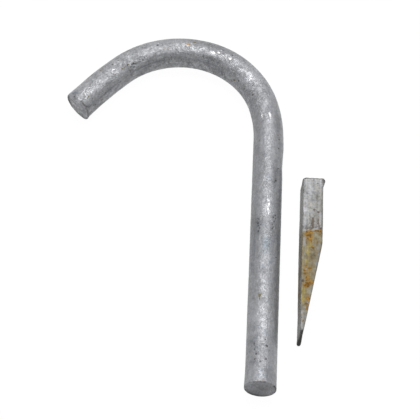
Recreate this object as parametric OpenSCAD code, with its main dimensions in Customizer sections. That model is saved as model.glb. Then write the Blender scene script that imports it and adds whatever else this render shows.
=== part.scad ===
// Rock anchor: a mooring hook bent from round bar, and the loose wedge that jams its shank in the rock.
// The two lie side by side on the ground, with the shank along +Y and the mouth of the hook towards -X.
// Millimetres. The origin is on the ground, under the middle of the set.

/* [Round bar] */
// Diameter of the bar
bar_d = 22; // [16:0.5:28]
// Chamfer round each cut end of the bar
end_chamfer = 0.5; // [0.3:0.1:2]

/* [Hook] */
// Straight shank, from its cut end to the start of the bend
shank_l = 203.5; // [180:0.5:300]
// Centre-line radius of the easing bend between the shank and the main bend
ease_r = 96.7; // [70:0.1:120]
// Turn of the easing bend, in degrees
ease_a = 18.5; // [10:0.1:30]
// Centre-line radius of the main bend
bend_r = 65.7; // [50:0.1:80]
// Turn of the main bend, in degrees
bend_a = 115.8; // [90:0.1:130]
// Centre-line radius of the tip, which is almost straight
tip_r = 306; // [150:1:600]
// Length of the tip past the main bend
tip_l = 45; // [15:0.5:70]

/* [Wedge] */
// Length of the wedge along its upper face
wedge_l = 123.5; // [100:0.5:160]
// Width of its flat bar, which stands upright as the wedge lies
wedge_h = 25; // [20:0.5:32]
// Thickness of its flat bar, from flank to flank at the head
wedge_t = 14.6; // [10:0.1:20]
// Thickness left at the blunt tip
tip_t = 2.4; // [1.5:0.1:6]
// Length of the tapered end
taper_l = 70; // [50:1:90]
// Radius of the flat bar's rolled corners
corner_r = 0.8; // [0.4:0.1:1.2]
// Lean of both flanks from upright, in degrees
flank_lean = 3.4; // [1:0.1:6]
// Slope of the sheared head from square, in degrees
head_slope = 10; // [2:0.5:20]
// Reach of the burr that the shear left beside the head
burr_reach = 1.2; // [0.6:0.1:2]

/* [Layout] */
// Gap between the shank and the foot of the wedge
wedge_gap = 13.5; // [6:0.5:40]
// Distance of the wedge's tip up the shank, from the shank's cut end
wedge_up = 39.7; // [0:0.1:80]

/* [Hidden] */
$fn = 96;
bar_r = bar_d / 2;
tip_a = tip_l / tip_r * 180 / PI;
hook_turn = ease_a + bend_a + tip_a;
// How far the lean carries the upper face of the wedge past its foot
lean_shift = wedge_h * tan(flank_lean);
// How far the burr runs down the flank and down the upper face
burr_h = 0.4 * wedge_h;
burr_l = 6;

// Where the centre line ends each stretch, from the shank's cut end at [0, 0]
function round_at(angle) = [cos(angle), sin(angle)];
function bend_end(from, radius, start, turn) = from + radius * (round_at(start + turn) - round_at(start));
shank_end = [0, shank_l];
ease_end = bend_end(shank_end, ease_r, 0, ease_a);
main_end = bend_end(ease_end, bend_r, ease_a, bend_a);
tip_end = bend_end(main_end, tip_r, ease_a + bend_a, tip_a);

// Edges of the set, seen from above
crown_y = ease_end.y + bend_r * (1 - sin(ease_a)) + bar_r;
tip_rim = [bar_r * cos(hook_turn) + end_chamfer * sin(hook_turn), (bar_r - end_chamfer) * cos(hook_turn)];
left_x = tip_end.x + min(tip_rim);
wedge_x = bar_r + wedge_gap;
right_x = wedge_x + wedge_t + lean_shift + burr_reach;
middle = [(left_x + right_x) / 2, crown_y / 2];

// Places a piece in two steps, whole hundredths and then the rest, so that rounding leaves no gap at a joint
module put(at) {
    near = [for (x = at) round(100 * x) / 100];
    translate(near) translate(at - near) children();
}

// Bar bent to the left, from a point on the centre line where it has already turned through start
module bend(from, radius, start, turn) {
    put(from - radius * round_at(start))
        rotate_extrude(angle = turn, start = start) translate([radius, 0]) circle(r = bar_r);
}

// Ring outside the chamfer of a cut end, for bar that runs from the origin along +Y
module edge_cut() {
    spare = 2;
    rotate([-90, 0, 0]) difference() {
        translate([0, 0, -spare / 2]) cylinder(r = bar_r + spare, h = end_chamfer + spare);
        translate([0, 0, -spare])
            cylinder(r1 = bar_r - end_chamfer - spare, r2 = bar_r + spare, h = end_chamfer + 2 * spare);
    }
}

// Hook: one bar, from the shank's cut end through the bends to the tip, with both ends chamfered
module hook() {
    color("#979799") translate([-middle.x, -middle.y, bar_r]) difference() {
        union() {
            rotate([-90, 0, 0]) cylinder(r = bar_r, h = shank_l);
            bend(shank_end, ease_r, 0, ease_a);
            bend(ease_end, bend_r, ease_a, bend_a);
            bend(main_end, tip_r, ease_a + bend_a, tip_a);
        }
        edge_cut();
        translate(tip_end) rotate([0, 0, hook_turn + 180]) edge_cut();
    }
}

// Section of the leaning flat bar: straight sides between four rolled corners
module flat_bar_section() {
    across = corner_r / cos(flank_lean);
    rise = corner_r * tan(flank_lean);
    low_left = [across + rise, corner_r];
    low_right = [wedge_t - across + rise, corner_r];
    up = [lean_shift - 2 * rise, wedge_h - 2 * corner_r];
    side = corner_r * [cos(flank_lean), -sin(flank_lean)];
    top = [0, corner_r];
    polygon([low_left - top, low_right - top, low_right + side, low_right + up + side,
             low_right + up + top, low_left + up + top, low_left + up - side, low_left - side]);
    for (corner = [low_left, low_right, low_left + up, low_right + up])
        translate(corner) circle(r = corner_r);
}

// Upright cut along an outline on the ground, standing at the lean of the flanks
module leaning_cut(outline) {
    rotate([0, flank_lean, 0]) translate([0, 0, -wedge_h])
        linear_extrude(3 * wedge_h) polygon([for (p = outline) [p.x * cos(flank_lean), p.y]]);
}

// All that lies past the sloping head
module past_head() {
    translate([-wedge_t, wedge_l, wedge_h]) rotate([head_slope, 0, 0])
        translate([0, 0, -2 * wedge_h]) cube([4 * wedge_t, 2 * wedge_h, 4 * wedge_h]);
}

// Wedge: flat bar cut to a taper on one flank, with its head sheared off and a burr left at one corner
module wedge() {
    slope = (wedge_t - tip_t) / taper_l;
    reach = taper_l + wedge_t;
    burr_outline = [[wedge_t - 2, wedge_l - burr_l - 2], [wedge_t, wedge_l - burr_l],
                    [wedge_t + burr_reach / 3, wedge_l - burr_l / 2],
                    [wedge_t + burr_reach, wedge_l - burr_l / 5],
                    [wedge_t + burr_reach, wedge_l + wedge_h], [wedge_t - 2, wedge_l + wedge_h]];
    color("#969083") translate([wedge_x - middle.x, wedge_up - middle.y, 0]) difference() {
        union() {
            translate([0, wedge_l + wedge_h, 0]) rotate([90, 0, 0])
                linear_extrude(wedge_l + wedge_h) flat_bar_section();
            intersection() {
                leaning_cut(burr_outline);
                translate([0, 0, wedge_h - burr_h]) cube([2 * wedge_t, 2 * wedge_l, burr_h]);
            }
        }
        leaning_cut([[tip_t - slope, -1], [tip_t + slope * reach, reach], [3 * wedge_t, reach], [3 * wedge_t, -1]]);
        past_head();
    }
}

hook();
wedge();
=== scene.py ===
# %% [markdown]
# # A galvanised rock anchor
# The object is a mooring hook bent from one round bar, and the loose steel wedge that jams its shank in a
# hole or a crack in rock. Both were dipped in molten zinc, and the wedge has begun to rust. The packed
# model gives the exact solids. This lesson keeps them as the frame, and builds a finer skin for each one:
# lumps, pits and runs of zinc, worn edges, and the stains.

import math

import bmesh
import bpy
import numpy as np
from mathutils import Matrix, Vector, noise


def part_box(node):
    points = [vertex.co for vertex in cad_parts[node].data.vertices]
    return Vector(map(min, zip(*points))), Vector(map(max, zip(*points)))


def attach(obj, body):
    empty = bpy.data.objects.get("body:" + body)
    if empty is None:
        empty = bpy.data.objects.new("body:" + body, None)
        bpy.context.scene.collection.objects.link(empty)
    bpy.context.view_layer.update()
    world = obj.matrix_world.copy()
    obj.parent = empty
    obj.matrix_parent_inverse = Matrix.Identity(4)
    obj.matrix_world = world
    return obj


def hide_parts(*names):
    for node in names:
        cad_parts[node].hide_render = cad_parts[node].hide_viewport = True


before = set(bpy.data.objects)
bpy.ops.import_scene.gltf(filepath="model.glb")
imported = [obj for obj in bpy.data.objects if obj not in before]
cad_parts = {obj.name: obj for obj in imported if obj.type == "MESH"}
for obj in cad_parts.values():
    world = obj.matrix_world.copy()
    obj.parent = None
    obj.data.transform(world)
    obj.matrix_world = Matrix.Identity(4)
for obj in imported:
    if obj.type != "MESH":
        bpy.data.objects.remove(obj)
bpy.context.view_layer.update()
MM = 0.001

# %% [markdown]
# ## The path of the bar
# A real hook starts as a straight bar and is bent round a former. A curve with a bevel would give the same
# tube, but the zinc has to follow the bar round the bend, and each point should know its place on the bar
# before bending. So the bar is built straight first, and one function bends it: a shank, then three arcs
# that flow into each other.

# %% Path of the bar
BAR_R = 11.0
SHANK_L = 203.5
TIP_R = 306.0
TIP_L = 45.0
# Radius of the centre line in millimetres, and turn in degrees
BENDS = ((96.7, 18.5), (65.7, 115.8), (TIP_R, math.degrees(TIP_L / TIP_R)))
PAST_TIP = math.radians(2.0)

hook_low, hook_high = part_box("hook")
shank_foot = np.array([hook_high.x / MM - BAR_R, hook_low.y / MM])
BAR_L = SHANK_L + sum(radius * math.radians(turn) for radius, turn in BENDS)


def centre_line(along):
    """Where the centre line is, and how far the bar has turned, at each distance from the shank's cut end."""
    place = shank_foot + np.stack([np.zeros_like(along), np.minimum(along, SHANK_L)], -1)
    turned = np.zeros_like(along)
    begun = SHANK_L
    for number, (radius, turn) in enumerate(BENDS):
        most = math.radians(turn)
        spare = PAST_TIP if number == len(BENDS) - 1 else 0.0
        after = turned + np.clip((along - begun) / radius, 0.0, most + spare)
        step = np.stack([np.cos(after) - np.cos(turned), np.sin(after) - np.sin(turned)], -1)
        place = place + radius * step
        turned = after
        begun += radius * most
    return place, turned


tip_place, tip_turn = centre_line(np.array([BAR_L]))
print(f"bar {BAR_L:.1f} mm long, tip at {tip_place[0].round(2)}")
print(f"turned by {math.degrees(tip_turn[0]):.1f} degrees")

# %% [markdown]
# ## Rings of points
# The skin is a tube of rings, close enough that a lump of zinc a few millimetres wide gets several points
# across. The ends were sawn off and the zinc rounded their rims, so the rings go on over the rim and inwards
# across the face to a point in its middle. A cylinder would have only one flat face there. Each ring keeps
# the way its surface faces: outwards on the bar, along it on the cuts.

# %% Rings of points
RIM_R = 0.6
RING_STEP = 0.62
AROUND = 112
RIM_STEPS = 6
FACE_RINGS = (0.12, 0.24, 0.36, 0.48, 0.59, 0.69, 0.77, 0.84, 0.90, 0.95)

face_r = BAR_R - RIM_R
rim_turn = np.linspace(0.0, math.pi / 2, RIM_STEPS)
cap_along = np.concatenate([np.zeros(len(FACE_RINGS)), RIM_R * (1 - np.cos(rim_turn))])
cap_radius = np.concatenate([face_r * np.array(FACE_RINGS), face_r + RIM_R * np.sin(rim_turn)])
cap_out = np.concatenate([np.zeros(len(FACE_RINGS)), np.sin(rim_turn)])
body_count = round((BAR_L - 2 * RIM_R) / RING_STEP)
body_along = np.linspace(RIM_R, BAR_L - RIM_R, body_count + 1)[1:-1]

ring_along = np.concatenate([cap_along, body_along, BAR_L - cap_along[::-1]])
ring_radius = np.concatenate([cap_radius, np.full(len(body_along), BAR_R), cap_radius[::-1]])
ring_out = np.concatenate([cap_out, np.ones(len(body_along)), cap_out[::-1]])
ring_end = np.sqrt(1 - ring_out**2) * np.where(ring_along < BAR_L / 2, -1.0, 1.0)
round_at = np.linspace(-math.pi, math.pi, AROUND, endpoint=False)
print(len(ring_along), "rings of", AROUND, "points")

# %% [markdown]
# ## Lumps in the zinc
# Molten zinc drains off unevenly and freezes in soft lumps. Blender's own noise gives the same values on
# every run. A texture could fake this, but the lumps break up the outline and the highlight, so here they
# move the points.

# %% Noise over the straight bar
bar_places = np.empty((len(ring_along), AROUND, 3))
bar_places[..., 0] = ring_radius[:, None] * np.sin(round_at)
bar_places[..., 1] = ring_radius[:, None] * np.cos(round_at)
bar_places[..., 2] = ring_along[:, None]


def lumps(places, size, seed, stretch=(1.0, 1.0, 1.0)):
    """Smooth noise from about -1 to 1, with lumps about size millimetres across, drawn out by stretch."""
    shift = seed * np.array([17.31, 5.93, 11.77])
    scaled = places.reshape(-1, 3) / (size * np.array(stretch)) + shift
    return np.array([noise.noise(p) for p in scaled.tolist()]).reshape(places.shape[:-1])


ALONG_BAR = (1.0, 1.0, 3.0)
skin = 0.10 * lumps(bar_places, 15.0, 1, ALONG_BAR)
skin += 0.08 * lumps(bar_places, 4.2, 2)
skin += 0.04 * lumps(bar_places, 1.9, 3)
print(f"zinc stands {skin.min():.2f} to {skin.max():.2f} mm off the bar")

# %% [markdown]
# ## Pits, marks and runs
# Ash and trapped flux leave pits in the zinc, thick drops freeze smooth and shiny, and where the bath drained
# off it left brighter and duller runs. The drops are the glints: their skin is smoothed and more metallic, so
# they mirror the soft box, and the finish also gives them a much lighter colour, a painted highlight. Whole
# stretches of the bar are a little lighter, darker or bluer than the rest. Painting this by hand would tie it
# to one mesh, so each mark is a soft spot, placed by its distance along the bar and its angle from the top.
# The larger ones sit where they are plain to see, and many small pits are scattered all round from a fixed
# seed. Pits dent the skin, and all the marks are masks for the colour.

# %% How a mark spreads over the bar
tear_along = 0.5 * lumps(bar_places, 2.4, 6) + 0.4 * lumps(bar_places, 1.1, 7)
tear_aside = 0.5 * lumps(bar_places, 2.2, 8) + 0.4 * lumps(bar_places, 1.0, 9)


def spread(marks, tear=1.0):
    """How strongly each point lies in any of the marks, from 0 to 1. Noise tears their edges."""
    total = np.zeros(bar_places.shape[:2])
    girth = 2 * math.pi * BAR_R
    for along, degrees, half_long, half_wide in marks:
        aside = BAR_R * (round_at - math.radians(degrees)) + tear * tear_aside
        aside = (aside + girth / 2) % girth - girth / 2
        from_mark = ring_along[:, None] - along + tear * tear_along
        away = (from_mark / half_long) ** 2 + (aside / half_wide) ** 2
        total = np.maximum(total, np.exp(-away) * ring_out[:, None])
    return total


print(f"edges of the marks wander by up to {np.abs(tear_along).max():.1f} mm")

# %% Pits
PITS = (
    # along, degrees from the top towards the outside, half length, half width
    (28.1, 18, 0.9, 1.2), (32.8, 11, 0.6, 0.6), (22.0, -21, 0.8, 0.7), (18.0, -25, 0.9, 0.6),
    (16.0, -5, 0.6, 0.5), (18.1, 16, 0.8, 0.8), (29.8, -30, 2.0, 0.4), (25.6, -29, 0.8, 0.5),
    (99.6, 47, 0.6, 1.2), (123.0, 30, 0.8, 0.6), (131.0, 40, 0.6, 0.6), (133.5, 38, 0.6, 0.7),
    (128.0, 33, 0.6, 0.5), (121.8, 25, 0.6, 0.5), (125.2, 27, 0.6, 0.5), (131.2, 28, 0.7, 0.5),
    (119.4, -29, 1.0, 0.7), (122.0, -26, 0.7, 0.6), (124.0, -31, 0.8, 0.6), (124.6, -21, 0.6, 0.5),
    (126.2, -32, 0.8, 0.6), (127.4, -37, 0.8, 0.5), (129.6, -28, 0.8, 0.6), (130.5, -34, 0.6, 0.5),
    (121.0, -17, 0.5, 0.5), (162.6, 35, 1.0, 0.9), (161.0, 30, 0.6, 0.6), (411.2, 30, 0.5, 1.0),
    (173.9, 45, 0.6, 1.3), (191.0, 44, 0.6, 0.9), (199.0, 45, 0.7, 0.9), (202.0, 40, 0.5, 0.5),
    (229.5, -40, 0.6, 0.5), (240.5, -36, 0.9, 0.8), (260.0, -51, 0.7, 0.7), (278.6, 19, 0.7, 0.7),
    (286.5, 21, 0.9, 0.6), (298.6, -38, 0.8, 0.7), (311.9, -38, 0.7, 0.7), (335.4, 8, 0.8, 1.2),
    (348.4, -31, 0.6, 1.2), (357.6, -37, 0.9, 0.6), (359.2, -34, 0.9, 0.6), (360.9, -32, 0.8, 0.6),
    (364.0, -25, 0.7, 0.6), (356.0, 42, 0.5, 1.0), (372.5, 17, 0.6, 0.8), (377.7, 45, 0.5, 1.1),
    (346.5, -27, 0.7, 0.5), (350.5, -36, 0.8, 0.5), (352.5, -29, 0.6, 0.5), (354.5, -41, 0.9, 0.4),
    (360.0, -45, 1.0, 0.4), (362.5, -38, 0.8, 0.4), (366.8, 15, 0.7, 0.6),
)
SMALL_PITS = 70
PIT_SEED = 41

draw = np.random.default_rng(PIT_SEED)
scattered = [
    (draw.uniform(3, BAR_L - 3), draw.uniform(-180, 180), draw.uniform(0.5, 1.1), draw.uniform(0.4, 0.7))
    for _ in range(SMALL_PITS)
]
pits = np.maximum(spread(PITS, 0.5), 0.5 * spread(scattered))
print(len(PITS), "pits and", len(scattered), "small ones")

# %% Glints and runs
# Glints: smooth, shiny drops of zinc, and the finish lightens their colour as a painted highlight
GLINTS = (
    (291.6, -10, 2.9, 1.7), (287.8, -1, 1.9, 1.2), (277.6, -2, 1.9, 1.5), (217.4, 7, 3.2, 1.1),
    (218.3, -21, 2.4, 0.7), (283.4, -5, 1.8, 0.8),
)
SOFT_GLINTS = (
    (144.6, 4, 2.0, 0.7), (140.8, 8, 2.2, 0.7), (136.6, 5, 2.4, 0.7), (148.0, 3, 1.4, 0.6),
    (133.6, 8, 1.4, 0.6), (139.2, 2, 1.3, 0.5), (143.0, 10, 1.2, 0.5), (304.0, -8, 1.0, 0.8),
    (314.0, -10, 0.9, 0.8),
)
BRIGHT_RUNS = (
    (4.5, 4, 2.2, 2.0), (50.0, 3, 12.0, 1.1), (76.0, 1, 7.0, 1.8), (140.0, 6, 9.0, 1.8),
    (164.0, 0, 6.0, 1.5), (216.0, 5, 6.0, 1.4), (254.0, -12, 8.0, 3.8), (309.0, -8, 9.0, 2.0),
    (378.0, -12, 9.0, 2.2), (400.0, -15, 9.0, 3.4),
)
DULL_RUNS = (
    (123.0, -31, 9.0, 2.3), (108.0, -46, 15.0, 2.4), (322.0, -38, 14.0, 1.4), (357.0, -36, 8.0, 1.2),
    (110.0, 55, 14.0, 1.8), (160.0, 62, 24.0, 1.5), (295.0, -57, 18.0, 0.8), (345.0, -60, 26.0, 0.8),
    (388.0, -61, 20.0, 0.7), (9.5, 3, 2.4, 2.4),
)
SOFT_GLINT = 0.85

glints = np.maximum(spread(GLINTS, 0.3), SOFT_GLINT * spread(SOFT_GLINTS, 0.3))
bright_run = spread(BRIGHT_RUNS)
dull_run = spread(DULL_RUNS)
print(len(GLINTS + SOFT_GLINTS), "glints,", len(BRIGHT_RUNS), "bright runs,", len(DULL_RUNS), "dull ones")

# %% Light, dark and blue zones
LIGHT_ZONES = (
    (50.0, -30, 14.0, 5.5), (45.0, 38, 14.0, 3.5), (254.0, -13, 8.0, 4.5), (252.0, 20, 8.0, 3.0),
    (4.0, -42, 7.0, 5.0), (370.0, 18, 14.0, 2.5), (100.0, 40, 14.0, 2.2), (18.0, 55, 20.0, 3.5),
    (270.0, 6, 5.0, 2.0), (348.0, -31, 7.0, 1.7), (36.0, 6, 5.0, 2.4), (44.0, -27, 4.5, 2.2),
    (311.0, -41, 4.0, 1.8), (327.0, -41, 4.0, 1.8), (359.5, -41, 3.0, 1.6),
)
DARK_ZONES = (
    (128.0, -50, 8.0, 4.5), (112.0, 4, 9.0, 4.0), (118.0, 17, 7.0, 2.5), (298.0, 37, 18.0, 4.5),
    (167.0, 30, 10.0, 2.8), (212.0, 41, 12.0, 2.5), (287.0, -28, 6.0, 1.8), (366.0, -5, 6.0, 2.0),
    (64.0, -2, 7.0, 2.4), (182.0, -15, 5.0, 2.0), (85.0, 2, 5.0, 2.4), (28.0, -4, 4.0, 2.0),
    (160.0, -1, 5.0, 2.4), (234.0, -6, 5.0, 1.8), (311.0, -13, 5.0, 2.2), (408.0, -18, 3.5, 2.0),
    (166.0, 58, 16.0, 2.2), (409.4, 28, 2.4, 3.2), (399.0, 1, 5.0, 2.2), (166.0, -3, 4.0, 2.0),
    (8.0, 17, 5.0, 1.8), (222.0, 5, 4.0, 1.8), (145.0, -4, 4.0, 1.6), (76.0, -4, 3.5, 2.0),
    (54.0, -5, 5.0, 1.6), (369.0, -16, 5.0, 1.8), (270.0, -40, 7.0, 2.2), (344.0, -42, 4.0, 1.6),
    (359.0, 40, 3.5, 2.0),
)
BLUE_RUNS = ((109.0, 3, 6.5, 3.0), (409.4, 28, 2.0, 2.8))

zone = spread(LIGHT_ZONES, 0.8) - spread(DARK_ZONES, 0.8)
blue_run = spread(BLUE_RUNS)
print(len(LIGHT_ZONES), "light zones,", len(DARK_ZONES), "dark ones,", len(BLUE_RUNS), "blue ones")

# %% Spots of rust on the bar
RUST_SPOTS = (
    (311.9, 5, 1.4, 1.2), (314.2, 6, 0.9, 0.8), (331.0, -14, 0.6, 0.5), (1.8, 9, 0.7, 0.9),
    (0.9, -12, 0.5, 0.7),
)
OLIVE_SPOTS = (
    (66.9, -14, 1.4, 1.1), (64.6, -14, 1.5, 0.5), (68.3, -9, 0.7, 0.7), (68.2, -19, 0.7, 0.8),
    (308.2, 18, 1.8, 0.7), (328.3, -17, 0.7, 0.6), (358.6, -31, 0.8, 0.5), (363.4, -25, 0.9, 0.6),
    (367.4, -26, 1.1, 0.6), (369.6, -24, 0.8, 0.6), (377.0, -10, 0.7, 0.5), (382.0, 31, 0.6, 0.9),
    (402.5, -14, 0.5, 0.5), (405.0, -26, 0.8, 0.7), (406.5, -5, 0.7, 0.7), (264.0, -62, 1.6, 0.8),
)
rust_spot = spread(RUST_SPOTS, 0.5)
olive_spot = spread(OLIVE_SPOTS, 0.5)
print(len(RUST_SPOTS), "spots of rust,", len(OLIVE_SPOTS), "olive ones")

# %% Swells, dips and dents
SWELLS = ((388.0, 75, 14.0, 6.0), (282.0, 75, 20.0, 6.0), (196.0, 80, 7.0, 5.0))
DIPS = ((179.0, 80, 6.0, 5.0),)
SWELL_HIGH = 0.40
DIP_DEEP = 0.35
PIT_DEEP = 0.30

skin = skin * (1 - 0.5 * glints) - PIT_DEEP * pits + SWELL_HIGH * spread(SWELLS) - DIP_DEEP * spread(DIPS)
print(f"the skin now stands {skin.min():.2f} to {skin.max():.2f} mm off the bar")

# %% [markdown]
# ## The ends of the bar
# Zinc that ran back from the tip froze in a curved edge, a step of a quarter of a millimetre. Both ends
# were sawn a little out of square, and the saw and the bath left small flares and a drip. The rims are
# dark: in broken spots above, where the zinc is thin, and in a wider band on their lower sides, which face
# the ground; that lower band is painted shade. A bevel modifier can't tell one side of a rim from the other,
# so these too are worked out from each point's angle and its distance from the end.

# %% The run behind the tip
RUN_START = math.radians(-15)
RUN_END = math.radians(-78)
RUN_HIGH = 0.25
RUN_SOFT = 0.6
RUN_L = 26
RUN_FADE = 14

from_tip = BAR_L - ring_along[:, None]
run_edge = 0.4 + 3.5 * (np.clip(RUN_START - round_at, 0, None) / 0.77) ** 5
in_run = (round_at < RUN_START) & (round_at > RUN_END)
past_edge = (from_tip - run_edge) / RUN_SOFT
run_line = np.exp(-(past_edge**2)) * in_run * ring_out[:, None]
skin = skin + RUN_HIGH * in_run * np.clip(past_edge, 0, 1) * np.clip((RUN_L - from_tip) / RUN_FADE, 0, 1)
print(f"run of zinc starts {run_edge[in_run].min():.1f} to {run_edge[in_run].max():.1f} mm behind the tip")

# %% Faces and rims of the cuts
FACE_DOME = 0.5
RIM_DARK = 0.9
# Painted shade on the lower rims: at the tip or not, the angle, half of the arc, reach from the rim, strength
RIM_SHADES = (
    (False, -155, 62, 2.6, 0.85), (False, 178, 70, 1.6, 1.0),
    (True, 102, 34, 2.6, 1.0), (True, 170, 60, 1.2, 0.8),
)

from_end = np.minimum(ring_along, BAR_L - ring_along)[:, None]
cut_face = np.repeat((1 - ring_out)[:, None], AROUND, 1)
skin = skin + cut_face * FACE_DOME * (1 - (ring_radius[:, None] / BAR_R) ** 2)
to_rim = np.hypot(from_end, BAR_R - ring_radius[:, None])
torn_rim = np.clip(0.5 + 1.3 * lumps(bar_places, 2.6, 5) - 0.6 * np.cos(round_at), 0, 1)
at_tip = (ring_along > BAR_L / 2)[:, None]


def around(degrees, half):
    """A soft hump round the bar, 1 at the angle and almost 0 at twice the half width."""
    turn = (round_at - math.radians(degrees) + math.pi) % (2 * math.pi) - math.pi
    return np.exp(-((turn / math.radians(half)) ** 2))


# A dark band round each rim: broken spots of thin zinc above, painted shade where the rim faces down
rim_thin_zinc_and_shade = np.exp(-((to_rim / RIM_DARK) ** 2)) * torn_rim * (1 - 0.4 * at_tip)
for on_tip, degrees, half, reach, strength in RIM_SHADES:
    rim_shade = strength * np.exp(-((to_rim / reach) ** 2)) * around(degrees, half) * (at_tip == on_tip)
    rim_thin_zinc_and_shade = np.maximum(rim_thin_zinc_and_shade, rim_shade)
# Painted light and shade on the shank's cut face: lighter towards the rim, most on the inner side, and darker
# at its lower inner part, which faces down. The tip's face is made lighter all over.
shank_face_shading = 0.55 - 1.00 * around(-150, 55) + 0.30 * around(-88, 38)
cut_tone = (ring_radius[:, None] / BAR_R) ** 2 * shank_face_shading * ~at_tip + 0.65 * at_tip
cut_tone = cut_tone * cut_face
print(f"rims are dark in {100 * (rim_thin_zinc_and_shade[from_end[:, 0] < RIM_R] > 0.5).mean():.0f} % of their points")

# %% Skewed cuts, flares and a drip
# How far a cut is out of square, and the side on which the bar is longer
SHANK_SKEW = (0.6, math.radians(140))
TIP_SKEW = (0.85, math.radians(-90))
SKEW_L = 12.0
# How far the drip stands out, its angle and half of its arc
TIP_DRIP = (0.8, math.radians(-135), math.radians(22))
DRIP_REACH = 1.4
# How far a flare stands out, and its angle
SHANK_FLARE = (0.5, math.radians(-72))
TIP_FLARE = (0.5, math.radians(70))
FLARE_L = 9.0
BEND_IN = 50.0

skew = np.clip(1 - ring_along / SKEW_L, 0, 1)[:, None] * -SHANK_SKEW[0] * np.cos(round_at - SHANK_SKEW[1])
skew = skew + np.clip(1 - from_tip / SKEW_L, 0, 1) * TIP_SKEW[0] * np.cos(round_at - TIP_SKEW[1])
from_drip = (round_at - TIP_DRIP[1]) / TIP_DRIP[2]
tip_drip = TIP_DRIP[0] * np.exp(-(from_drip**2)) * np.exp(-((to_rim / DRIP_REACH) ** 2))
skin = skin + tip_drip * at_tip
for (reach, side_at), away in ((SHANK_FLARE, ring_along[:, None]), (TIP_FLARE, from_tip)):
    skin = skin + reach * np.exp(-((away / FLARE_L) ** 2)) * np.clip(np.cos(round_at - side_at), 0, 1) ** 2
bent = np.repeat(np.clip((ring_along - SHANK_L) / BEND_IN, 0, 1)[:, None], AROUND, 1)
print(f"cuts out of square by {np.abs(skew).max():.1f} mm, drip of {tip_drip.max():.1f} mm")

# %% [markdown]
# ## Bending the bar
# Now every point is moved out by its skin and carried to the bent bar. Where the bar lies on the ground its
# lumps are flattened, because the heavy hook rests there. The straight place stays on each point as an
# attribute, so that the finish can draw streaks that follow the bar round the bend.

# %% Bend the skin into the hook
bar_radius = ring_radius[:, None] + skin * ring_out[:, None]
bar_along = ring_along[:, None] + skin * ring_end[:, None] + skew
place, turned = centre_line(bar_along)
side = bar_radius * np.sin(round_at)
points = np.empty_like(bar_places)
points[..., 0] = place[..., 0] + side * np.cos(turned)
points[..., 1] = place[..., 1] + side * np.sin(turned)
points[..., 2] = np.maximum(BAR_R + bar_radius * np.cos(round_at), 0.0)
print(f"hook {np.ptp(points[..., 0]):.1f} by {np.ptp(points[..., 1]):.1f} mm")

# %% Points and faces of the hook

def with_poles(rows):
    """The rings' values in one list, then the middle of the first face and the middle of the last one."""
    return np.concatenate([rows.reshape(-1, *rows.shape[2:]), rows[:1].mean(1), rows[-1:].mean(1)])


def tube_faces(rings, per_ring):
    """Squares between the rings, and a fan of triangles on each cut face, all facing outwards."""
    at = np.arange(rings * per_ring).reshape(rings, per_ring)
    beside = np.roll(at, -1, axis=1)
    squares = np.stack([at[:-1], beside[:-1], beside[1:], at[1:]], -1).reshape(-1, 4).tolist()
    first = [(rings * per_ring, b, a) for a, b in zip(at[0], beside[0])]
    last = [(rings * per_ring + 1, a, b) for a, b in zip(at[-1], beside[-1])]
    return squares + first + last


def keep_on_points(mesh, name, values):
    """Stores a number or a place in millimetres on every point of a mesh, for its finish to read."""
    kind = "FLOAT_VECTOR" if values.ndim == 2 else "FLOAT"
    layer = mesh.attributes.new(name, kind, "POINT")
    layer.data.foreach_set("vector" if values.ndim == 2 else "value", values.astype(np.float32).ravel())


print("squares between the rings:", (len(ring_along) - 1) * AROUND)

# %% The hook as a piece
hook_mesh = bpy.data.meshes.new("zinc_hook")
hook_mesh.from_pydata((with_poles(points) * MM).tolist(), [], tube_faces(len(ring_along), AROUND))
for name, rows in (
    ("straight", bar_places), ("pit", pits), ("glint", glints), ("bright_run", bright_run),
    ("dull_run", dull_run), ("zone", zone), ("blue_run", blue_run), ("rust_spot", rust_spot),
    ("olive_spot", olive_spot), ("run_line", run_line), ("cut_face", cut_face), ("cut_tone", cut_tone),
    ("rim_thin_zinc_and_shade", rim_thin_zinc_and_shade), ("bent", bent),
):
    keep_on_points(hook_mesh, name, with_poles(rows))
hook_mesh.shade_smooth()
hook = bpy.data.objects.new("zinc_hook", hook_mesh)
bpy.context.scene.collection.objects.link(hook)
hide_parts("hook")
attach(hook, "root")
print("hook:", len(hook_mesh.vertices), "points,", len(hook_mesh.polygons), "faces")

# %% [markdown]
# ## The wedge
# The wedge is a piece of flat bar, cut to a taper and sheared at the head. Its solid is already the right
# shape, so its skin starts as a copy of it. A voxel remesh covers the copy with an even grid of small
# squares, which can then be pushed about like clay; smoothing first takes the machine-sharp edges off, as a
# bath of zinc does.

# %% An even grid over the wedge
WEDGE_GRID = 0.00045
WELD = 0.00001

blank_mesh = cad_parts["wedge"].data.copy()
welded = bmesh.new()
welded.from_mesh(blank_mesh)
bmesh.ops.remove_doubles(welded, verts=welded.verts, dist=WELD)
welded.to_mesh(blank_mesh)
welded.free()
blank = bpy.data.objects.new("wedge_blank", blank_mesh)
bpy.context.scene.collection.objects.link(blank)
even_grid = blank.modifiers.new("even_grid", "REMESH")
even_grid.mode = "VOXEL"
even_grid.voxel_size = WEDGE_GRID
soft_edges = blank.modifiers.new("soft_edges", "SMOOTH")
soft_edges.factor = 0.5
soft_edges.iterations = 4
wedge_mesh = bpy.data.meshes.new_from_object(blank.evaluated_get(bpy.context.evaluated_depsgraph_get()))
bpy.data.objects.remove(blank)
wedge_mesh.name = "stained_wedge"
print("wedge grid:", len(wedge_mesh.vertices), "points")

# %% [markdown]
# ## Places on the wedge
# Marks on the wedge are easiest to give in the wedge's own millimetres: across from its left flank, up from
# its tip, and height above the ground. The flanks lean a little, so across is measured along the level of
# each point.

# %% Places on the wedge
WEDGE_L = 123.5
WEDGE_H = 25.0
WEDGE_T = 14.6
TIP_T = 2.4
TAPER_L = 70.0
LEAN = math.tan(math.radians(3.4))
HEAD_SLOPE = math.tan(math.radians(10.0))

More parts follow.
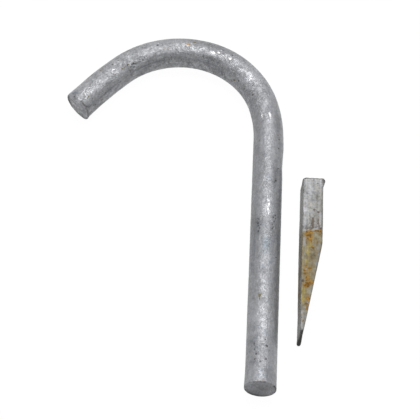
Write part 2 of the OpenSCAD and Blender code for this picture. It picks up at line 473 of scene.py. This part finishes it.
wedge_low, wedge_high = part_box("wedge")
wedge_points = np.empty(len(wedge_mesh.vertices) * 3, np.float32)
wedge_mesh.vertices.foreach_get("co", wedge_points)
wedge_points = wedge_points.reshape(-1, 3).astype(float) / MM
height = wedge_points[:, 2]
across = wedge_points[:, 0] - wedge_low.x / MM - LEAN * height
up = wedge_points[:, 1] - wedge_low.y / MM
wide = TIP_T + (WEDGE_T - TIP_T) * np.clip(up / TAPER_L, 0, 1)
to_head = WEDGE_L + (WEDGE_H - height) * HEAD_SLOPE - up
on_top = np.clip((height - WEDGE_H + 1.2) / 1.0, 0, 1)
wedge_places = np.stack([across, up, height], 1)
print(f"wedge {across.max():.1f} mm across, {up.max():.1f} mm long, {height.max():.1f} mm high")

# %% [markdown]
# ## Blows, burrs and zinc on the wedge
# The head was sheared and struck, so its upper edge is ragged and a low lip runs along it, with a shallow
# groove below. Nicks break the long edges, the zinc lies in the same lumps as on the hook, and it gathered
# in a slightly fuller foot on the left and at the tip. Sculpting by hand would not repeat, so each form is
# a soft hump in the wedge's own millimetres that pushes points out or in.

# %% Lumps, lip and groove
LIP_HIGH = 0.30
GROOVE_DEEP = 0.22
RAGGED_BY = 0.35
TOP_SAG = 0.55

facing = np.empty(len(wedge_mesh.vertices) * 3, np.float32)
wedge_mesh.vertex_normals.foreach_get("vector", facing)
facing = facing.reshape(-1, 3).astype(float)


def bump(values, middle, half):
    """A soft hump, 1 at the middle and almost 0 at twice the half width."""
    return np.exp(-(((values - middle) / half) ** 2))


ragged = lumps(wedge_places, 2.2, 11)
wander = 0.8 * lumps(wedge_places, 6.0, 12)
out = 0.12 * lumps(wedge_places, 15.0, 13)
out += 0.08 * lumps(wedge_places, 4.0, 14)
out += 0.04 * lumps(wedge_places, 1.8, 15)
out += on_top * (LIP_HIGH * bump(to_head, 1.6 + wander, 1.3) - GROOVE_DEEP * bump(to_head, 4.4 + wander, 0.8))
out += RAGGED_BY * ragged * np.clip(1 - to_head / 1.6, 0, 1) * on_top
out -= on_top * TOP_SAG * (across / wide) ** 2 * np.clip(up / TAPER_L, 0, 1)
print(f"lumps, lip and groove move the skin {out.min():.2f} to {out.max():.2f} mm")

# %% Burr, nicks and foot
BURR_OUT = 1.2
NICK_DEEP = 0.5
CORNER_WEAR = 0.25
SIDE_FOOT = 0.25
TIP_FOOT = 0.32

upper_half = np.clip((height - 12.0) / 6.0, 0, 1)
near_head = np.clip(1 - to_head / 10.0, 0, 1)
out += 0.6 * bump(across, 0.0, 0.9) * bump(to_head, 4.5, 4.0) * upper_half
out -= 0.9 * bump(across, 0.0, 1.3) * bump(height, WEDGE_H, 1.6) * near_head
burr_side = upper_half * np.clip((across - WEDGE_T + 0.6) / 0.4, 0, 1) * (to_head < 10.0)
burr_wanted = BURR_OUT * bump(to_head, 2.4, 1.5)
edge_left = bump(across, 0.0, 0.7) * on_top
edge_right = bump(across, wide, 0.7) * on_top
nicks = np.clip(lumps(wedge_places, 3.5, 16) - 0.15, 0, 1)
out -= NICK_DEEP * nicks * (edge_left + edge_right)
out -= CORNER_WEAR * bump(up, 0.0, 0.9) * (bump(across, 0.0, 0.7) + bump(across, wide, 0.7))
out += SIDE_FOOT * bump(across, 0.0, 0.8) * np.clip((9.0 - height) / 6.0, 0, 1) * bump(up, 74.0, 24.0)
out += TIP_FOOT * bump(up, 0.5, 2.0) * np.clip((14.0 - height) / 10.0, 0, 1)
wedge_points = wedge_points + out[:, None] * facing
wedge_points[:, 0] += burr_side * (burr_wanted - np.clip(across - WEDGE_T, 0, None))
wedge_points[:, 2] = np.maximum(wedge_points[:, 2], 0.0)
wedge_mesh.vertices.foreach_set("co", (wedge_points * MM).astype(np.float32).ravel())
wedge_mesh.update()
print(f"wedge skin moved {out.min():.2f} to {out.max():.2f} mm")

# %% [markdown]
# ## Where the wedge rusts
# Rust breaks out where the zinc was knocked off, in the middle of the taper, and rain has drawn it out into
# tan and olive stains. Dark smudges, pale blooms of zinc salt and lighter and darker patches lie on the
# upper face, and its edges are chipped and worn. An image could hold all this, but the masks are kept on
# the points instead, so that they fit the skin from every side: blots on the upper face, and noise on the
# sides and below. The edges of the blots are torn by noise, or they would look sprayed on.

# %% How a blot spreads over the wedge
tear_across = 0.8 * lumps(wedge_places, 2.6, 21) + 0.6 * lumps(wedge_places, 1.1, 22)
tear_up = 1.0 * lumps(wedge_places, 3.0, 23) + 0.8 * lumps(wedge_places, 1.2, 24)


def blots(marks, tear=1.0):
    """How strongly each point of the upper face lies in any of the blots, from 0 to 1, with torn edges."""
    total = np.zeros(len(across))
    for at_across, at_up, half_wide, half_long in marks:
        from_across = across - at_across + tear * tear_across
        from_up = up - at_up + tear * tear_up
        away = (from_across / half_wide) ** 2 + (from_up / half_long) ** 2
        total = np.maximum(total, np.exp(-(away**1.5)))
    return total * on_top


print(f"edges of the blots wander by up to {np.abs(tear_up).max():.1f} mm")

# %% Rust and its halo
RUST_BLOTS = (
    # across, up, half width, half length
    (3.3, 78.0, 1.1, 0.9), (4.8, 78.4, 1.3, 0.9), (6.4, 77.6, 1.0, 1.2), (3.6, 76.0, 1.4, 0.9),
    (5.2, 75.6, 1.5, 1.0), (6.6, 74.6, 0.9, 0.9), (3.0, 73.2, 0.9, 0.8), (5.4, 72.6, 1.7, 1.0),
    (6.4, 70.6, 0.9, 0.9), (11.2, 79.4, 0.8, 0.7), (9.3, 79.3, 1.4, 0.4), (12.6, 79.6, 0.9, 0.4),
    (7.2, 65.5, 0.8, 0.7), (3.0, 50.5, 0.5, 0.7), (2.0, 46.5, 0.5, 0.7), (5.6, 48.6, 0.9, 0.9),
    (2.0, 44.4, 0.5, 0.7), (4.2, 41.6, 0.6, 0.9), (2.8, 35.0, 0.9, 1.1), (4.3, 36.0, 1.6, 1.3),
    (6.2, 37.4, 1.5, 1.5), (7.6, 38.0, 0.8, 1.3), (3.8, 40.0, 1.1, 1.2), (4.2, 34.6, 1.0, 0.8),
    (4.8, 25.0, 1.2, 1.8), (5.4, 23.4, 0.9, 1.9), (3.0, 20.5, 0.5, 0.7), (4.6, 20.0, 0.6, 0.9),
    (4.2, 18.2, 0.8, 2.3), (4.2, 16.2, 0.5, 0.9), (0.6, 9.0, 0.4, 0.4), (2.0, 7.2, 0.4, 0.4),
)
BROWN_BLOTS = (
    (3.2, 44.6, 1.9, 2.6), (4.2, 42.0, 2.1, 3.2), (5.6, 47.8, 1.7, 2.2), (2.6, 48.0, 1.2, 2.6),
    (12.6, 78.6, 1.2, 1.8), (3.6, 16.5, 0.9, 1.8),
)
HALO = 1.7

around_sides = (1 - on_top) * bump(up, 48.0, 34.0)
side_grain = 2.4 * lumps(wedge_places, 9.0, 25) + 0.9 * lumps(wedge_places, 3.0, 26)
side_rust = around_sides * np.clip(side_grain - 0.35, 0, 1)
rust = np.maximum(blots(RUST_BLOTS), 0.8 * side_rust)
halo = blots([(*middle, HALO * wide_by, HALO * long_by) for *middle, wide_by, long_by in RUST_BLOTS])
halo = np.maximum(halo, blots(BROWN_BLOTS))
print(f"rust covers {100 * (rust > 0.5).mean():.1f} % of the wedge")

# %% Tan and olive stains
OLIVE_BLOTS = (
    (5.0, 67.5, 1.7, 2.6), (4.5, 62.0, 1.6, 2.8), (3.6, 53.5, 1.6, 3.0), (2.0, 30.0, 1.7, 3.8),
    (1.6, 24.2, 1.9, 2.9),
)
CLEAR_BLOTS = (
    (0.8, 69.5, 1.8, 4.0), (1.7, 60.0, 1.3, 2.6), (11.7, 66.5, 1.7, 3.6), (7.2, 43.5, 1.1, 3.0),
    (5.8, 30.0, 1.4, 3.2), (11.3, 59.0, 1.7, 3.4), (5.9, 22.6, 1.2, 2.8), (4.9, 17.5, 1.0, 3.4),
    (0.9, 58.5, 1.0, 2.2),
)
olive = blots(OLIVE_BLOTS)
top_edge = 79.0 + 0.12 * across + 1.5 * lumps(wedge_places, 3.0, 28)
wash = np.clip((up + 0.5) / 36.0, 0, 1) * np.clip((top_edge - up) / 1.2, 0, 1)
wash = wash * (0.95 + 0.7 * lumps(wedge_places, 6.0, 29) + 0.4 * lumps(wedge_places, 2.4, 30))
wash = np.maximum(wash * (1 - 0.5 * blots(CLEAR_BLOTS)), 0.8 * olive)
side_stain = around_sides * (0.7 + 0.9 * lumps(wedge_places, 12.0, 27))
right_band = on_top * np.clip((across / wide - 0.70) / 0.20, 0, 1) * bump(up, 48.0, 20.0)
stain = np.clip(on_top * wash * (1 - 0.6 * right_band) + (1 - on_top) * side_stain, 0, 1)
print(f"stains cover {100 * (stain > 0.5).mean():.1f} % of the wedge")

# %% Smudges, blooms and patches
SMUDGES = (
    (7.4, 89.3, 1.1, 1.5), (7.3, 87.0, 1.1, 1.9), (7.2, 84.5, 1.1, 2.6), (6.8, 81.8, 0.7, 1.6),
    (13.1, 81.6, 0.9, 1.2), (0.9, 38.6, 1.0, 1.3), (10.4, 119.0, 1.2, 0.5), (11.0, 79.3, 0.9, 0.8),
)
SOFT_SMUDGES = (
    (8.3, 96.6, 1.3, 1.7), (11.3, 95.2, 1.4, 1.2), (11.0, 88.0, 1.0, 2.6), (11.0, 85.5, 0.9, 1.0),
)
BLOOM_BLOTS = (
    (3.2, 47.9, 0.8, 0.9), (1.4, 69.0, 1.2, 3.2), (12.4, 93.0, 0.7, 2.0), (4.3, 21.5, 0.6, 0.9),
    (3.2, 17.0, 0.5, 1.2), (12.7, 118.8, 0.8, 0.7), (11.4, 112.2, 0.7, 0.6), (3.4, 119.5, 1.2, 1.6),
    (1.6, 71.8, 1.5, 2.4), (5.9, 21.8, 0.9, 2.4), (5.2, 17.4, 0.8, 2.6),
)
LIGHT_PATCHES = (
    (4.6, 112.5, 2.6, 4.5), (1.8, 119.0, 2.0, 2.2), (12.4, 119.0, 1.8, 2.0), (2.2, 95.5, 1.8, 4.0),
    (1.0, 23.0, 1.2, 3.0), (5.0, 24.0, 1.1, 2.6), (0.6, 5.0, 0.7, 2.5),
)
DARK_PATCHES = (
    (9.6, 91.2, 2.5, 5.4), (6.2, 88.5, 1.9, 3.0), (13.2, 101.0, 1.5, 7.0), (8.6, 59.2, 3.0, 2.8),
    (10.0, 106.6, 1.0, 4.2), (4.6, 75.2, 1.9, 1.4), (4.4, 35.6, 1.7, 1.5), (12.4, 66.0, 1.3, 4.0),
    (1.8, 59.0, 1.8, 2.8), (4.4, 53.0, 1.9, 2.6), (1.0, 17.0, 1.0, 2.4),
)
SOFT_SMUDGE = 0.66

smudge = np.maximum(blots(SMUDGES, 0.4), SOFT_SMUDGE * blots(SOFT_SMUDGES, 0.6))
bloom = blots(BLOOM_BLOTS)
patch = blots(LIGHT_PATCHES) - blots(DARK_PATCHES)
print(len(SMUDGES + SOFT_SMUDGES), "smudges,", len(BLOOM_BLOTS), "blooms of zinc salt")

# %% Specks, and the tip, head and edges
EDGE_CHIPS = (
    (0.4, 112.2, 0.7, 1.7), (1.0, 115.6, 0.6, 0.8), (0.2, 120.2, 0.7, 1.8), (0.1, 117.4, 0.5, 1.4),
)
speckled = np.maximum(bump(up, 82.0, 4.5), 0.45 * bump(up, 96.0, 9.0) * np.clip((across - 5.0) / 3.0, 0, 1))
speckled = speckled * on_top * np.clip((across - 0.8) / 2.0, 0, 1)
# The tip end faces the camera and gets little light: painted shade, near black, less dark towards its upper
# left
tip_shade_lifted = np.clip((1.5 - across) / 0.9, 0, 1) * np.clip((height - 5.0) / 8.0, 0, 1)
tip_painted_shade = bump(up, 0.0, 1.3) * np.clip((WEDGE_H - height) / 1.5, 0, 1) * (1 - 0.55 * tip_shade_lifted)
line_width = 1.0 + 0.5 * bump(across, 1.5, 2.5)
head_line = np.clip(1.2 - to_head / line_width, 0, 1) * np.clip((height - 19.0) / 4.0, 0, 1)
head_line = np.maximum(head_line * (1 - 0.4 * bump(across, 7.5, 3.0)), 0.8 * blots(EDGE_CHIPS, 0.5))
upper_third = np.clip((height - 16.0) / 6.0, 0, 1)
# Lighter near the head and along the upper left edge
lighter_head_and_edge = np.maximum(bump(to_head, 2.6, 2.4), bump(across, 0.0, 0.8)) * upper_third
right_third = np.clip((across / wide - 0.5) / 0.35, 0, 1) * np.clip((up - 82.0) / 10.0, 0, 1)
# Darker on the flanks, most around the middle of their length, on the right third of the upper face near the
# head and along its right edge: painted shade where these faces turn from the soft box, with some grime
shade_and_grime = (1 - on_top) * (0.85 + 0.7 * bump(up, 42.0, 30.0)) + on_top * 0.5 * right_third
shade_and_grime = shade_and_grime + 0.5 * edge_right * np.clip((up - 28.0) / 12.0, 0, 1) + 0.6 * right_band
curl = np.clip((across - WEDGE_T + 1.6) / 0.8, 0, 1) * bump(to_head, 2.0, 1.9) * upper_half
print("bare steel at the tip:", (tip_painted_shade > 0.5).sum(), "points")
print("chipped edge at the head:", (head_line > 0.5).sum(), "points")

# %% The wedge as a piece
for name, values in (
    ("wedge_mm", wedge_places), ("rust", rust), ("stain", stain), ("tip_painted_shade", tip_painted_shade),
    ("head_line", head_line), ("bloom", bloom), ("speckled", speckled), ("halo", halo),
    ("olive", olive), ("smudge", smudge), ("patch", patch), ("lighter_head_and_edge", lighter_head_and_edge),
    ("curl", curl), ("shade_and_grime", shade_and_grime),
):
    keep_on_points(wedge_mesh, name, values)
wedge_mesh.shade_smooth()
wedge_mesh.materials.clear()
wedge = bpy.data.objects.new("stained_wedge", wedge_mesh)
bpy.context.scene.collection.objects.link(wedge)
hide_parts("wedge")
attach(wedge, "root")
print("wedge:", len(wedge_mesh.polygons), "faces")

# %% [markdown]
# ## Formulas for finishes
# A finish is a graph of nodes, and graphs drawn by code are hard to read. So one small class wraps an
# output socket, and plain arithmetic on it adds the Math nodes: `1 - mask` or `0.4 + 0.2 * grain` reads as
# a formula. Colours go through Mix nodes instead, because a Math node would turn them grey.

# %% Formulas for finishes
COLOUR_A = 6
COLOUR_B = 7
COLOUR_OUT = 2


class Tone:
    """An output socket in a finish. Arithmetic on tones adds Math nodes to its tree."""

    def __init__(self, tree, socket=None):
        self.tree = tree
        self.socket = socket

    def make(self, kind, settings=None, sockets=None, out=0):
        """Adds a node of any kind: its settings first, then the values or links of its sockets."""
        node = self.tree.nodes.new(kind)
        for name, value in (settings or {}).items():
            setattr(node, name, value)
        for key, value in (sockets or {}).items():
            if isinstance(value, Tone):
                self.tree.links.new(value.socket, node.inputs[key])
            elif node.inputs[key].type == "RGBA":
                node.inputs[key].default_value = (*value, 1.0)
            else:
                node.inputs[key].default_value = value
        return Tone(self.tree, node.outputs[out] if node.outputs else None)

    def maths(self, operation, *values):
        return self.make("ShaderNodeMath", {"operation": operation}, dict(enumerate(values)))

    def __add__(self, other):
        return self.maths("ADD", self, other)

    def __sub__(self, other):
        return self.maths("SUBTRACT", self, other)

    def __rsub__(self, other):
        return self.maths("SUBTRACT", other, self)

    def __mul__(self, other):
        return self.maths("MULTIPLY", self, other)

    __radd__ = __add__
    __rmul__ = __mul__

    def most(self, other):
        return self.maths("MAXIMUM", self, other)

    def rise(self, low, high):
        """A soft step, 0 below low and 1 above high."""
        ends = {"Value": self, "From Min": low, "From Max": high}
        return self.make("ShaderNodeMapRange", {"interpolation_type": "SMOOTHSTEP"}, ends)

    def between(self, first, second):
        """The first colour where this tone is 0, the second where it is 1."""
        colours = {0: self, COLOUR_A: first, COLOUR_B: second}
        return self.make("ShaderNodeMix", {"data_type": "RGBA"}, colours, COLOUR_OUT)

    def shaded(self, value):
        """This colour times a value."""
        colours = {0: 1.0, COLOUR_A: self, COLOUR_B: value}
        settings = {"data_type": "RGBA", "blend_type": "MULTIPLY"}
        return self.make("ShaderNodeMix", settings, colours, COLOUR_OUT)

    def stretched(self, scale):
        """This place scaled along each axis."""
        return self.make("ShaderNodeVectorMath", {"operation": "MULTIPLY"}, {0: self, 1: scale})

    def grain(self, size, detail=2.0, rough=0.5):
        """Noise from 0 to 1, mostly near a half, with grains about size millimetres across."""
        sockets = {"Vector": self, "Scale": 1.0 / size, "Detail": detail, "Roughness": rough}
        return self.make("ShaderNodeTexNoise", {"noise_dimensions": "3D"}, sockets)

    def cells(self, size):
        """One random value from 0 to 1 for each crystal about size millimetres across."""
        sockets = {"Vector": self, "Scale": 1.0 / size}
        crystals = self.make("ShaderNodeTexVoronoi", {"feature": "F1"}, sockets, "Color")
        return self.make("ShaderNodeSeparateColor", {}, {0: crystals})

    def kept(self, name, place=False):
        """What was stored on the points under this name: a value, or a place."""
        return self.make("ShaderNodeAttribute", {"attribute_name": name}, {}, 1 if place else 2)


def new_finish(name):
    """An empty finish: its material, and a tone to start formulas from."""
    material = bpy.data.materials.new(name)
    material.use_nodes = True
    material.node_tree.nodes.clear()
    return material, Tone(material.node_tree)


def close_finish(start, surface):
    """Joins the last shader to the finish's output."""
    start.make("ShaderNodeOutputMaterial", {}, {"Surface": surface})
    return len(start.tree.nodes)


# %% [markdown]
# ## The zinc on the hook
# Weathered hot-dip zinc is neither a mirror nor a paint: a dull grey skin with bright metal showing
# through. A fully metallic finish would turn black or white with what it faces, so it is mixed: part metal,
# part grey. Clouds, mottling and fine grain change the grey, and streaks follow the bar. Fine grain also
# feeds the bump.

# %% Grains and masks of the hook's zinc
zinc, start = new_finish("zinc")
bar = start.kept("straight", place=True)
cloud = bar.grain(24.0, 2.0)
blotch = bar.grain(8.0, 3.0, 0.55).rise(0.52, 0.68)
mottle = bar.grain(4.6, 4.0, 0.65)
flake = bar.grain(1.7, 3.0, 0.65)
streak = bar.stretched((1.0, 1.0, 0.05)).grain(1.6, 2.0)
grit = bar.grain(0.8, 2.0, 0.7)
speck = bar.grain(0.9, 1.0).rise(0.60, 0.72)
chip = bar.stretched((1.0, 1.0, -1.0)).grain(1.0, 1.0).rise(0.60, 0.72)
spangle = bar.cells(2.6)
pit = start.kept("pit").rise(0.25, 0.65)
bright = start.kept("bright_run")
dull = (start.kept("dull_run") * (0.2 + 1.4 * mottle)).rise(0.25, 0.85)
cut = start.kept("cut_face")
rim = start.kept("rim_thin_zinc_and_shade")
run = start.kept("run_line")
rusty = (start.kept("rust_spot") * (0.3 + 1.4 * flake)).rise(0.3, 0.7)
olive_fleck = (start.kept("olive_spot") * (0.3 + 1.4 * flake)).rise(0.3, 0.7)
fleck = (0.45 * mottle + 0.35 * flake + 0.20 * grit).rise(0.46, 0.58)
glint = (start.kept("glint") * (0.4 + 1.2 * flake)).rise(0.15, 0.95)
print("grains and masks:", len(start.tree.nodes), "nodes")

# %% Light and dark of the hook's zinc
ZONE_GAIN = 0.27

bent_here = start.kept("bent")
crazed = 1 + 0.7 * bent_here
shade = 0.85 + 0.30 * cloud + 0.90 * crazed * (mottle - 0.5) + 0.70 * (flake - 0.5) + 0.20 * (grit - 0.5)
shade = shade + 0.30 * (streak - 0.5) + (0.10 + 0.42 * bent_here) * chip
shade = shade * (0.985 + 0.045 * bent_here) * (1 + ZONE_GAIN * start.kept("zone"))
shade = shade * (1 - (0.28 + 0.24 * bent_here) * speck)
# The rim band darkens the rims: thin zinc above, painted shade on their lower sides
shade = shade * (1 - 0.10 * blotch) * (1 - 0.24 * dull) * (1 - 0.90 * rim) * (1 - 0.45 * run)
# cut_tone: painted light and shade on the cut faces
shade = shade * (1 + start.kept("cut_tone") + 0.8 * cut * (grit - 0.45))
print("with the shade:", len(start.tree.nodes), "nodes")

# %% Colours of the hook's zinc
COLD_ZINC = (0.309, 0.322, 0.349)
WARM_ZINC = (0.323, 0.327, 0.342)
BLUE_ZINC = (0.296, 0.330, 0.366)
PAINTED_GLINT_GREY = (0.60, 0.60, 0.61)
RUST_BROWN = (0.34, 0.19, 0.05)
OLIVE_BROWN = (0.16, 0.135, 0.065)

grey = (blotch.most(dull) * (1 - 0.6 * bent_here)).between(WARM_ZINC, COLD_ZINC)
grey = start.kept("blue_run").between(grey, BLUE_ZINC).shaded(shade)
# Painted highlight: the glints get a much lighter colour
colour = glint.between(grey, PAINTED_GLINT_GREY)
colour = (0.9 * rusty).between(colour, RUST_BROWN)
colour = (0.9 * olive_fleck).between(colour, OLIVE_BROWN).shaded(1 - 0.70 * pit)
print("with the colours:", len(start.tree.nodes), "nodes")

# %% Gloss and grain of the hook's zinc
rough = 0.37 - 0.07 * bent_here + 0.14 * crazed * mottle + 0.08 * flake
rough = rough - 0.08 * fleck - 0.08 * bright - 0.08 * glint + 0.20 * cut
metal = 0.41 + 0.12 * spangle + (0.15 + 0.22 * bent_here) * (fleck - 0.4)
metal = metal + bright * (0.07 + (0.03 + 0.08 * bent_here) * fleck) - 0.10 * dull
metal = (metal + 0.35 * glint + 0.12 * bent_here * chip) * (1 - 0.75 * pit) * (1 - 0.60 * cut)
height_mm = (0.29 + 0.17 * bent_here) * flake + (0.32 + 0.53 * bent_here) * mottle
height_mm = height_mm + 0.15 * grit + 0.06 * spangle
height_mm = height_mm * (1 - 0.2 * bright) * (1 - 0.65 * glint)
print("with gloss and grain:", len(start.tree.nodes), "nodes")

# %% Close the finish of the hook
HOOK_SHINE = 0.12

bumped = start.make("ShaderNodeBump", {}, {"Strength": 1.0, "Distance": MM, "Height": height_mm})
skin_shader = start.make(
    "ShaderNodeBsdfPrincipled", {},
    {"Base Color": colour, "Roughness": rough, "Metallic": metal, "Normal": bumped,
     "Specular IOR Level": HOOK_SHINE},
)
print("zinc:", close_finish(start, skin_shader), "nodes")
hook_mesh.materials.append(zinc)

# %% [markdown]
# ## The stained zinc on the wedge
# The wedge has the same zinc, duller, under a tan stain and flakes of rust. Each layer is mixed over the
# last by its mask, and each mask is torn once more by fine grain, so that rust ends in specks and not in a
# soft edge. Rust isn't metal: where it lies, the finish is rough and not metallic.

# %% Grains and masks of the wedge's zinc
stained, start = new_finish("stained_zinc")
spot_mm = start.kept("wedge_mm", place=True)
cloud = spot_mm.grain(16.0, 2.0)
mottle = spot_mm.grain(4.0, 4.0, 0.62)
flake = spot_mm.grain(1.5, 3.0, 0.65)
scrape = spot_mm.stretched((1.0, 0.08, 1.0)).grain(1.3, 2.0)
rust_here = (start.kept("rust") + 0.7 * flake - 0.35).rise(0.16, 0.62)
stain_here = (start.kept("stain") + 0.7 * flake - 0.35).rise(0.05, 0.70)
halo_here = (start.kept("halo") + 0.7 * mottle - 0.35).rise(0.15, 0.80)
olive_here = (start.kept("olive") + 0.8 * mottle - 0.40).rise(0.15, 0.75)
smudge_here = (start.kept("smudge") + 0.9 * flake - 0.45).rise(0.20, 0.75)
bloom_here = (start.kept("bloom") + 0.8 * flake - 0.40).rise(0.30, 0.80)
speck_here = (flake - 0.22 * (1 - start.kept("speckled"))).rise(0.42, 0.54)
tip_here = start.kept("tip_painted_shade")
head_here = (start.kept("head_line") * flake.rise(0.3, 0.5)).most(start.kept("curl") * (0.4 + 1.1 * flake))
print("grains and masks:", len(start.tree.nodes), "nodes")

# %% Light and dark of the wedge's zinc
patch_here = start.kept("patch")
tint = (spot_mm.grain(3.2, 2.0) - 0.25 * patch_here).rise(0.36, 0.66)
shade = 0.30 * cloud + 1.00 * mottle + 1.15 * flake + 0.80 * scrape - 0.625
shade = shade + (1 - stain_here) * (0.24 * (mottle - 0.5) + 0.20 * (flake - 0.5))
# Painted shade, with some grime, on the flanks and the right of the upper face
shade = shade * (1 - 0.24 * start.kept("shade_and_grime")) * (1 + 0.23 * start.kept("lighter_head_and_edge")) * (1 + 0.26 * patch_here)
print("with the shade:", len(start.tree.nodes), "nodes")

# %% Colours of the wedge, layer over layer
COLD_WEDGE = (0.288, 0.293, 0.301)
WARM_WEDGE = (0.300, 0.294, 0.276)
TAN_STAIN = (0.245, 0.196, 0.112)
GREY_STAIN = (0.236, 0.214, 0.152)
OLIVE_STAIN = (0.300, 0.242, 0.090)
HALO_STAIN = (0.262, 0.170, 0.060)
SPECK_BROWN = (0.085, 0.070, 0.064)
SMUDGE_BROWN = (0.096, 0.074, 0.058)
BLOOM_WHITE = (0.34, 0.345, 0.355)
LIGHT_RUST = (0.390, 0.208, 0.038)
DARK_RUST = (0.150, 0.075, 0.018)
TIP_SHADE_BLACK = (0.037, 0.034, 0.032)
DARK_EDGE = (0.06, 0.058, 0.055)

colour = tint.between(COLD_WEDGE, WARM_WEDGE)
colour = (0.75 * speck_here).between(colour, SPECK_BROWN)
colour = stain_here.between(colour, mottle.rise(0.40, 0.62).between(TAN_STAIN, GREY_STAIN))
colour = (0.85 * olive_here).between(colour, OLIVE_STAIN)
colour = (0.75 * halo_here).between(colour, HALO_STAIN).shaded(shade)
rust_colour = (flake + 0.12 * patch_here).rise(0.36, 0.62).between(DARK_RUST, LIGHT_RUST)
colour = (0.90 * rust_here).between(colour, rust_colour)
colour = (0.85 * smudge_here).between(colour, SMUDGE_BROWN)
colour = (0.60 * bloom_here).between(colour, BLOOM_WHITE)
# Painted shade: the tip end is darkened near black
colour = (tip_here + 0.5 * flake - 0.25).rise(0.20, 0.85).between(colour, TIP_SHADE_BLACK)
colour = (0.90 * head_here).between(colour, DARK_EDGE)
print("with the colours:", len(start.tree.nodes), "nodes")

# %% Gloss and grain of the wedge
covered = rust_here.most(0.6 * stain_here)
rough = 0.42 + 0.2 * mottle + 0.22 * covered
metal = 0.32 - 0.28 * covered
height_mm = 0.30 * flake + 0.35 * mottle + 0.12 * scrape + 0.15 * rust_here
print("with gloss and grain:", len(start.tree.nodes), "nodes")

# %% Close the finish of the wedge
WEDGE_SHINE = 0.1

bumped = start.make("ShaderNodeBump", {}, {"Strength": 1.0, "Distance": MM, "Height": height_mm})
skin_shader = start.make(
    "ShaderNodeBsdfPrincipled", {},
    {"Base Color": colour, "Roughness": rough, "Metallic": metal, "Normal": bumped,
     "Specular IOR Level": WEDGE_SHINE},
)
print("stained zinc:", close_finish(start, skin_shader), "nodes")
wedge_mesh.materials.append(stained)

# %% [markdown]
# ## A white floor that keeps its shadow
# The set lies on plain white. A white diffuse floor would need strong lamps to reach white, and would throw
# that light back up at the hook. So the floor is a pale grey for the light that bounces, and shows mostly
# an even white to the camera and in reflections; the small share of the grey that still shows holds a faint
# shadow.

# %% Floor
FLOOR_HALF = 10.0
FLOOR_DROP = 0.0001
FLOOR_GREY = (0.45, 0.45, 0.45)
WHITE_SHARE = 0.92
WHITE_LEVEL = 1.06

floor_mesh = bpy.data.meshes.new("floor")
corners = [(-1, -1), (1, -1), (1, 1), (-1, 1)]
floor_points = [(FLOOR_HALF * x, FLOOR_HALF * y, -FLOOR_DROP) for x, y in corners]
floor_mesh.from_pydata(floor_points, [], [(0, 1, 2, 3)])
floor = bpy.data.objects.new("floor", floor_mesh)
bpy.context.scene.collection.objects.link(floor)
ground, start = new_finish("white_floor")
ray = "ShaderNodeLightPath"
seen = start.make(ray, {}, {}, "Is Camera Ray")
for other_ray in ("Is Glossy Ray", "Is Transmission Ray"):
    seen = seen.most(start.make(ray, {}, {}, other_ray))
matt = start.make("ShaderNodeBsdfDiffuse", {}, {"Color": FLOOR_GREY})
white = start.make("ShaderNodeEmission", {}, {"Color": (1.0, 1.0, 1.0), "Strength": WHITE_LEVEL})
close_finish(start, start.make("ShaderNodeMixShader", {}, {0: WHITE_SHARE * seen, 1: matt, 2: white}))
floor_mesh.materials.append(ground)
print("floor", 2 * FLOOR_HALF, "m wide")

# %% [markdown]
# ## Soft light
# One soft box stands above and a little behind the hook, so its reflection runs along the top of the bar.
# The room round it is a dim even grey, lighter behind and on the left, darker in front: that is what shades
# the bar's sides.

# %% Lamp
AIM = Vector((0.01422, -0.00382, 0.011))
LAMP_AWAY = 1.15
LAMP_TOWARDS = Vector((0.10, 0.35, 0.93)).normalized()
LAMP_WIDE = 0.88
LAMP_LONG = 0.52
LAMP_BRIGHT = 6.5

lamp_data = bpy.data.lights.new("soft_box", "AREA")
lamp_data.shape = "RECTANGLE"
lamp_data.size = LAMP_WIDE
lamp_data.size_y = LAMP_LONG
lamp_data.energy = LAMP_BRIGHT * math.pi * LAMP_WIDE * LAMP_LONG
lamp = bpy.data.objects.new("soft_box", lamp_data)
lamp.location = AIM + LAMP_AWAY * LAMP_TOWARDS
lamp.rotation_euler = (-LAMP_TOWARDS).to_track_quat("-Z", "Y").to_euler()
bpy.context.scene.collection.objects.link(lamp)
print(f"soft box of {lamp_data.energy:.2f} W")

# %% Room
ROOM_GREY = 0.40

world = bpy.data.worlds.new("room")
bpy.context.scene.world = world
world.use_nodes = True
world.node_tree.nodes.clear()
start = Tone(world.node_tree)
way = start.make("ShaderNodeTexCoord", {}, {}, "Generated")
axes = start.make("ShaderNodeSeparateXYZ", {}, {0: way})
right_way = Tone(world.node_tree, axes.socket.node.outputs["X"])
back_way = Tone(world.node_tree, axes.socket.node.outputs["Y"])
up_way = Tone(world.node_tree, axes.socket.node.outputs["Z"])
level = ROOM_GREY + 0.18 * up_way + 0.20 * back_way - 0.06 * right_way
sky = start.make("ShaderNodeBackground", {}, {"Color": (1.0, 1.0, 1.0), "Strength": level})
start.make("ShaderNodeOutputWorld", {}, {"Surface": sky})
print("room:", len(world.node_tree.nodes), "nodes")

# %% [markdown]
# ## Camera
# The camera looks down at about 59 degrees from just right of the shank's line, through a long lens, so the
# two pieces hardly taper away.

# %% Camera
CAMERA_TURN = math.radians(2.46)
CAMERA_RISE = math.radians(59.25)
CAMERA_AWAY = 1.369
CAMERA_LENS = 162.3
CAMERA_SENSOR = 36.0

towards = Vector((
    math.sin(CAMERA_TURN) * math.cos(CAMERA_RISE),
    -math.cos(CAMERA_TURN) * math.cos(CAMERA_RISE),
    math.sin(CAMERA_RISE),
))
camera_data = bpy.data.cameras.new("camera")
camera_data.lens = CAMERA_LENS
camera_data.sensor_width = CAMERA_SENSOR
camera_data.sensor_fit = "HORIZONTAL"
camera = bpy.data.objects.new("camera", camera_data)
camera.location = AIM + CAMERA_AWAY * towards
camera.rotation_euler = (-towards).to_track_quat("-Z", "Y").to_euler()
bpy.context.scene.collection.objects.link(camera)
bpy.context.scene.camera = camera
bpy.context.scene.view_settings.view_transform = "Standard"
print("camera at", [round(x, 3) for x in camera.location])
